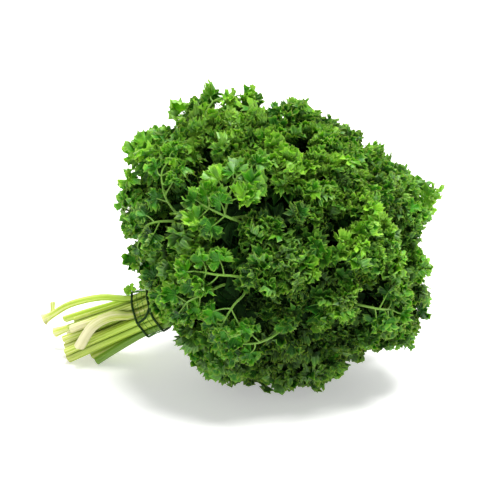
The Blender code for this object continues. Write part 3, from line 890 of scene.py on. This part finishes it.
def parsley_stalk():
    """Fresh cut stalk: pale at the cut, greener above, with fine lengthwise fibres and a wet gloss."""
    material, tree, shader, marks = new_material("parsley_stalk_fresh", "along round tint crest cut pressed")
    along, round_it, tint, crest, cut, pressed = marks
    # Blotches about 11 mm across
    place = node(tree, "ShaderNodeTexCoord", output="Object")
    blotches = node(tree, "ShaderNodeTexNoise", {"Vector": place, "Scale": 90.0, "Detail": 3.0})
    base = node(tree, "ShaderNodeMath", {0: along, 1: tint}, operation="ADD")
    shade = node(tree, "ShaderNodeMath", {0: blotches, 1: 0.30, 2: base}, operation="MULTIPLY_ADD")
    green = node(tree, "ShaderNodeValToRGB", {"Fac": shade}, stops=STALK_GREENS)
    crests = node(tree, "ShaderNodeValToRGB", {"Fac": shade}, stops=CREST_GREENS)
    # Fibres run the stalk's length, in a pattern of about 0.35 mm round it
    spread = node(tree, "ShaderNodeCombineXYZ", {"X": round_it, "Y": along, "Z": tint})
    spread = node(tree, "ShaderNodeMapping", {"Vector": spread, "Scale": (26.0, 3.0, 40.0)})
    fibres = node(tree, "ShaderNodeTexNoise", {"Vector": spread, "Scale": 1.0, "Detail": 2.0})
    # Ridge crests are paler: partly the stalk's own pale ribs, partly a painted highlight along them
    pale = node(tree, "ShaderNodeMath", {0: crest, 1: 0.34, 2: fibres}, operation="MULTIPLY_ADD")
    streak = node(tree, "ShaderNodeMapRange", {0: pale, 1: 0.48, 2: 0.90, 3: 0.0, 4: 0.90})
    # Stalks of older stems are dark green, and every stalk has painted shade where it lies close to or
    # touches another
    old = node(tree, "ShaderNodeMapRange", {0: tint, 1: 0.30, 2: 0.42, 3: 0.0, 4: 0.70})
    dark = node(tree, "ShaderNodeMath", {0: pressed, 1: 0.70}, operation="MULTIPLY")
    coats = ((streak, crests), (old, "#3c7a18"), (dark, "#3c5e02"), (cut, "#d8d49c"))
    fill(tree, shader, {
        "Base Color": painted(tree, green, coats),
        "Normal": node(tree, "ShaderNodeBump", {"Height": fibres, "Strength": 0.30, "Distance": 0.0003}),
        "Roughness": 0.34,
        "IOR": 1.42,
    })
    return material


def elastic_net():
    """Dark green elastic net: covered rubber strand, matt, with a fine spiral wrap."""
    material, tree, shader, (along, round_it, thin) = new_material("elastic_net_strand", "along round thin")
    turn = node(tree, "ShaderNodeMath", {0: along, 1: tau / WRAP_PITCH}, operation="MULTIPLY")
    skew = node(tree, "ShaderNodeMath", {0: round_it, 1: tau, 2: turn}, operation="MULTIPLY_ADD")
    wrap = node(tree, "ShaderNodeMath", {0: skew}, operation="SINE")
    lift = node(tree, "ShaderNodeMapRange", {0: wrap, 1: -1.0, 2: 1.0, 3: 0.0, 4: 1.0})
    cord = node(tree, "ShaderNodeValToRGB", {"Fac": lift}, stops=NET_GREENS)
    fill(tree, shader, {
        "Base Color": painted(tree, cord, ((thin, "#56902a"),)),
        "Normal": node(tree, "ShaderNodeBump", {"Height": lift, "Strength": 0.5, "Distance": 0.0002}),
        "Roughness": 0.62,
        "Specular IOR Level": 0.24,
    })
    return material


# Stalks

STALK_SIDES = 24
STALK_TWIST = 0.02
STALK_TINTS = {13: -0.34, 7: -0.04, 23: 0.04, 24: 0.42, 16: 0.10, 17: 0.25, 21: 0.12, 19: 0.20}
GREENING_LENGTH = 0.11
CONTACT_SHADE_GAP = 0.0015
CUT_LIP, CUT_DEPTH = 0.16, 0.0003
FORKED_BUTT = 1.22
SHOOT_PLACE, SHOOT_LENGTH, SHOOT_RIDGE = 4, 0.0092, 0.04
SHOOT_RADII = (0.0020, 0.0017, 0.0021)


def contact_shade_shares(points, others):
    """How closely each point lies to another stalk: 1 where it touches one, 0 a few millimetres off."""
    near = np.ones(len(points))
    for route, sizes in others:
        starts, ends = np.array(route[:-1])[:, None], np.array(route[1:])[:, None]
        shares = np.linspace(0.0, 1.0, 4, endpoint=False)[None, :, None]
        line = (starts + (ends - starts) * shares).reshape(-1, 3)
        apart = np.linalg.norm(points[:, None] - line[None], axis=2) - np.repeat(np.array(sizes[:-1]), 4)
        near = np.minimum(near, apart.min(axis=1))
    return np.exp(-((np.maximum(near, 0.0) / CONTACT_SHADE_GAP) ** 2))


def build_stalk(index, routes, material):
    """A ridged stalk with a cut end, and on one of them a side shoot."""
    draw = random.Random(SEED * 31 + index)
    work = bmesh.new()
    layers = {name: work.verts.layers.float.new(name) for name in ("along", "round", "tint", "crest", "cut")}
    path, radii = routes[index][0], routes[index][1][:]
    tint = STALK_TINTS.get(index, draw.uniform(-0.26, 0.22))
    ridges = draw.choice((5, 6, 7))
    tubes = [(path, radii, draw.uniform(0.045, 0.075))]
    if index == FORKED_STALK:
        radii[0] *= FORKED_BUTT
        fork = path[SHOOT_PLACE]
        tip = fork + SHOOT_LENGTH * (RISE + 0.40 * AXIS + 0.3 * SIDE).normalized()
        tubes.append(([tip, fork.lerp(tip, 0.5), fork], SHOOT_RADII, SHOOT_RIDGE))
    for route, sizes, ridge in tubes:
        rings = sweep(work, route, sizes, STALK_SIDES, ridge, ridges, twist=STALK_TWIST)
        length = 0.0
        for step, ring in enumerate(rings):
            if step:
                length += (route[step] - route[step - 1]).length
            for corner, vert in enumerate(ring):
                turn = tau * corner / STALK_SIDES + STALK_TWIST * step
                vert[layers["along"]] = min(1.0, length / GREENING_LENGTH)
                vert[layers["round"]] = abs(corner / STALK_SIDES * 2.0 - 1.0)
                vert[layers["crest"]] = 0.5 + 0.5 * cos(ridges * turn)
                if index == FORKED_STALK and route is path:
                    vert[layers["cut"]] = max(0.0, 0.8 - 0.2 * step)
        lean = Vector([draw.uniform(-0.30, 0.30) for _ in range(3)])
        onward = (route[1] - route[0]).normalized()
        for vert in rings[0]:
            vert.co += onward * lean.dot(vert.co - route[0])
        # The cut end: a narrow lip round a slightly sunk face
        faces = cap(work, rings[0])
        bmesh.ops.inset_region(work, faces=faces, thickness=sizes[0] * CUT_LIP, depth=0.0)
        sunk = [vert for face in faces for vert in face.verts]
        bmesh.ops.translate(work, verts=sunk, vec=onward * CUT_DEPTH)
        for vert in sunk:
            vert[layers["cut"]] = 1.0
        cap(work, rings[-1])
    for vert in work.verts:
        vert[layers["tint"]] = tint
        vert.co.z = max(vert.co.z, 0.0001)
    bmesh.ops.recalc_face_normals(work, faces=work.faces[:])
    others = routes[:index] + routes[index + 1:]
    # Painted shade where this stalk lies close to the others
    pressed = contact_shade_shares(np.array([vert.co for vert in work.verts]), others)
    name, cad_node = f"stalk_skin_{index + 1:02d}", f"stalk_{index + 1:02d}"
    mesh = finished(name, work, material, cad_node, radians(40.0))
    set_attribute(mesh, "pressed", pressed)


# The net tie

TURN_STEPS = 96
LOOP_ROUNDS, LOOP_CLEARANCE = 8, 0.0009
THICK, THICK_TURN_SCALE, FINE_TURN = 0.001, 0.80, 0.00024
# Strands along the bundle: place round it in degrees, radius, slant
STRANDS = (
    (175.0, 0.0009, -0.60), (120.0, 0.0005, 0.3), (0.0, 0.0005, -0.2), (232.0, 0.0004, 0.2),
    (262.0, 0.00022, -0.1), (292.0, 0.00022, 0.2), (322.0, 0.00022, 0.1), (172.0, 0.00022, 0.1),
    (146.0, 0.00022, -0.2), (92.0, 0.00022, 0.0), (60.0, 0.00022, 0.2), (28.0, 0.00022, -0.1),
)
THIN_BELOW = 0.0006


def bundle_outline(places, radii, turn):
    """Where the net lies on the tied stalks, at an angle round them."""
    way = Vector((cos(turn), sin(turn)))
    place, radius = max(zip(places, radii), key=lambda stalk: stalk[0].dot(way) + stalk[1])
    return place + way * (radius + TIE_CLEARANCE + LOOP_CLEARANCE)


def mark_strand(layers, rings, route, sides, radius):
    """Notes on a strand's points how far along and round it they are, and if it is a thin one."""
    length = 0.0
    for step, ring in enumerate(rings):
        if step:
            length += (route[step] - route[step - 1]).length
        for corner, vert in enumerate(ring):
            vert[layers["along"]] = length
            vert[layers["round"]] = abs(corner / sides * 2.0 - 1.0)
            vert[layers["thin"]] = 1.0 if radius < THIN_BELOW else 0.0


def build_tie(places, radii, material):
    """Two thick turns and finer ones of elastic round the bundle, with strands along it."""
    work = bmesh.new()
    layers = {name: work.verts.layers.float.new(name) for name in ("along", "round", "thin")}
    middle = (TIE_NEAR + TIE_FAR) / 2.0
    turns = [tau * step / TURN_STEPS for step in range(TURN_STEPS)]
    loop = [bundle_outline(places, radii, turn) for turn in turns]
    for _ in range(LOOP_ROUNDS):
        onward = loop[1:] + loop[:1]
        loop = [(loop[step - 1] + 2.0 * loop[step] + onward[step]) / 4.0 for step in range(TURN_STEPS)]

    def on_loop(turn):
        before = floor(turn / turns[1])
        share = turn / turns[1] - before
        return loop[before % TURN_STEPS].lerp(loop[(before + 1) % TURN_STEPS], share)

    for number, (offset, size) in enumerate(TURN_OFFSETS):
        draw = random.Random(SEED * 3 + number)
        lean, start = draw.uniform(-0.0007, 0.0007), draw.uniform(0.0, tau)
        thick = size > THICK
        radius = THICK_TURN_SCALE * size if thick else FINE_TURN
        route = [on_bundle(place, middle - offset + lean * sin(turn + start))
                 for turn, place in zip(turns, loop)]
        sides = 10 if thick else 6
        rings = sweep(work, route, [radius] * TURN_STEPS, sides, closed=True)
        mark_strand(layers, rings, route, sides, radius)
    first, last = TURN_OFFSETS[0][0], TURN_OFFSETS[-1][0]
    for around, radius, slant in STRANDS:
        route = []
        for step in range(9):
            share = step / 8.0
            turn = radians(around) + slant * (share - 0.5)
            route.append(on_bundle(on_loop(turn), middle - first - (last - first) * share))
        sides = 8 if radius > 0.0008 else 5
        rings = sweep(work, route, [radius] * len(route), sides)
        mark_strand(layers, rings, route, sides, radius)
        cap(work, rings[0])
        cap(work, rings[-1])
    bmesh.ops.recalc_face_normals(work, faces=work.faces[:])
    finished("tie_strands", work, material, "tie_net")


# Floor, light and camera

CAMERA_AZIMUTH, CAMERA_RISE = radians(15.0), radians(16.0)
CAMERA_LENS = 85.0
FRAME_WIDTH = 0.365
HEAD_RIGHT_OF_MIDDLE = 0.01825
# Lights: the way they come from, width in degrees, strength
LIGHTS = {
    "high": ((0.20, 0.02, 1.0), 30.0, 4.9),
    "low": ((-0.5, -1.0, 0.45), 50.0, 0.20),
    "rear": ((0.1, 1.0, 0.7), 60.0, 0.80),
}


def studio():
    """A pale floor, soft light mostly from above, and a camera at the photograph's angle."""
    work = bmesh.new()
    bmesh.ops.create_grid(work, x_segments=2, y_segments=2, size=40.0)
    mesh = as_mesh(work, "floor")
    material, tree, shader, _ = new_material("floor_white_paper")
    # A lit sweep: its own faint light keeps the shadow pale
    fill(tree, shader, {
        "Base Color": linear("#e8e8e6"),
        "Roughness": 0.9,
        "Emission Color": linear("#ffffff"),
        "Emission Strength": 0.42,
    })
    mesh.materials.append(material)
    in_scene("floor", mesh)

    world = bpy.data.worlds.new("studio")
    world.use_nodes = True
    sky = world.node_tree.nodes["Background"]
    fill(world.node_tree, sky, {"Color": linear("#ffffff"), "Strength": 0.36})
    bpy.context.scene.world = world
    bpy.context.scene.view_settings.view_transform = "Standard"

    for name, (towards, width, strength) in LIGHTS.items():
        data = bpy.data.lights.new(name, "SUN")
        data.angle = radians(width)
        data.energy = strength
        light = in_scene(name, data)
        light.rotation_euler = Vector(towards).to_track_quat("Z", "Y").to_euler()
        light.location = HEAD + Vector(towards)

    level = cos(CAMERA_RISE)
    right = Vector((cos(CAMERA_AZIMUTH), sin(CAMERA_AZIMUTH), 0.0))
    back = Vector((level * right.y, -level * right.x, sin(CAMERA_RISE)))
    data = bpy.data.cameras.new("photo_view")
    data.lens = CAMERA_LENS
    distance = FRAME_WIDTH * CAMERA_LENS / data.sensor_width
    camera = in_scene("photo_view", data)
    camera.location = HEAD - right * HEAD_RIGHT_OF_MIDDLE + back * distance
    camera.rotation_euler = (-back).to_track_quat("-Z", "Y").to_euler()
    bpy.context.scene.camera = camera


def main():
    studio()
    leaf, stalk, elastic = parsley_leaf(), parsley_stalk(), elastic_net()
    radii = stalk_radii()
    places = packed_bundle(radii)
    routes = [stalk_route(index, places[index], radii[index]) for index in range(STEMS)]
    templates = [leaflet_template(number) for number in range(INNER_TEMPLATE)] + [inner_template()]
    sprays = all_sprays()
    topmost = max(range(STEMS), key=lambda index: places[index].y)
    sprigs = {topmost: on_bundle(places[topmost], TIE_FAR - 0.0015)}
    for index in range(STEMS):
        build_stalk(index, routes, stalk)
        build_leaves(index, routes[index][0], templates, leaf, sprays, sprigs.get(index))
    build_tie(places, radii, elastic)
    for mesh in templates:
        bpy.data.meshes.remove(mesh)


main()
